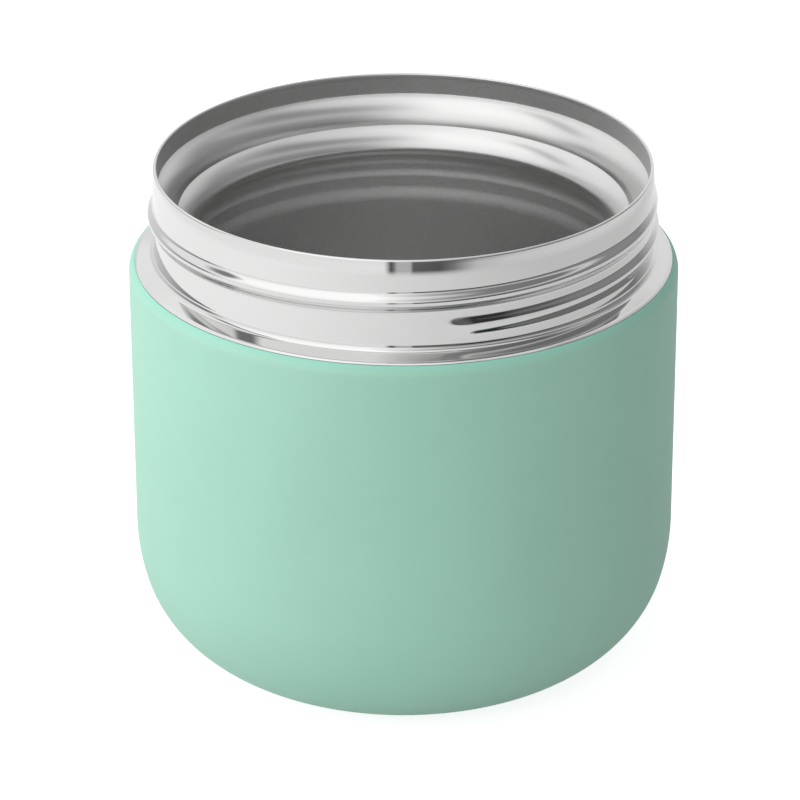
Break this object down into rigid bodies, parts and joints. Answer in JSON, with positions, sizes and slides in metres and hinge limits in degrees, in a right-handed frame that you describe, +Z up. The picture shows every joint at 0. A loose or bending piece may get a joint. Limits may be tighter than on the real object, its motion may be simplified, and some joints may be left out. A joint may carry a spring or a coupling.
{
  "type": "food jar",
  "caption": "Open double-wall vacuum food jar in stainless steel with a powder-coated body, a polished neck with an outside screw thread and a non-slip foot ring.",
  "frame": {"origin": "centre of the face on which the jar stands, the underside of the foot ring", "axes": "+Z up through the mouth; the thread starts near -Y, the side that the picture looks at"},
  "size_m": [0.1132, 0.1132, 0.1086],
  "materials": {
    "coated_shell": "satin powder coat, mint green, on stainless steel sheet",
    "polished_neck": "mirror polished stainless steel",
    "liner_steel": "polished bands at the mouth, satin below",
    "liner_bottom_steel": "satin",
    "bottom_steel": "satin",
    "seal_glass": "opaque sealing glass",
    "getter": "sintered metal",
    "clip_steel": "bare spring sheet",
    "copper": "bare copper foil",
    "cover_steel": "satin",
    "adhesive": "clear adhesive film",
    "silicone": "matte silicone"
  },
  "bodies": {
    "root": {"outer_shell": "coated_shell", "neck_collar": "polished_neck", "inner_vessel": "liner_steel", "inner_bottom": "liner_bottom_steel", "outer_bottom": "bottom_steel", "vacuum_seal": "seal_glass", "getter_pellet": "getter", "getter_clip": "clip_steel", "copper_foil": "copper", "foil_disc": "copper", "base_cover": "cover_steel", "cover_adhesive": "adhesive", "foot_pad": "silicone", "pad_adhesive": "adhesive"}
  },
  "joints": []
}
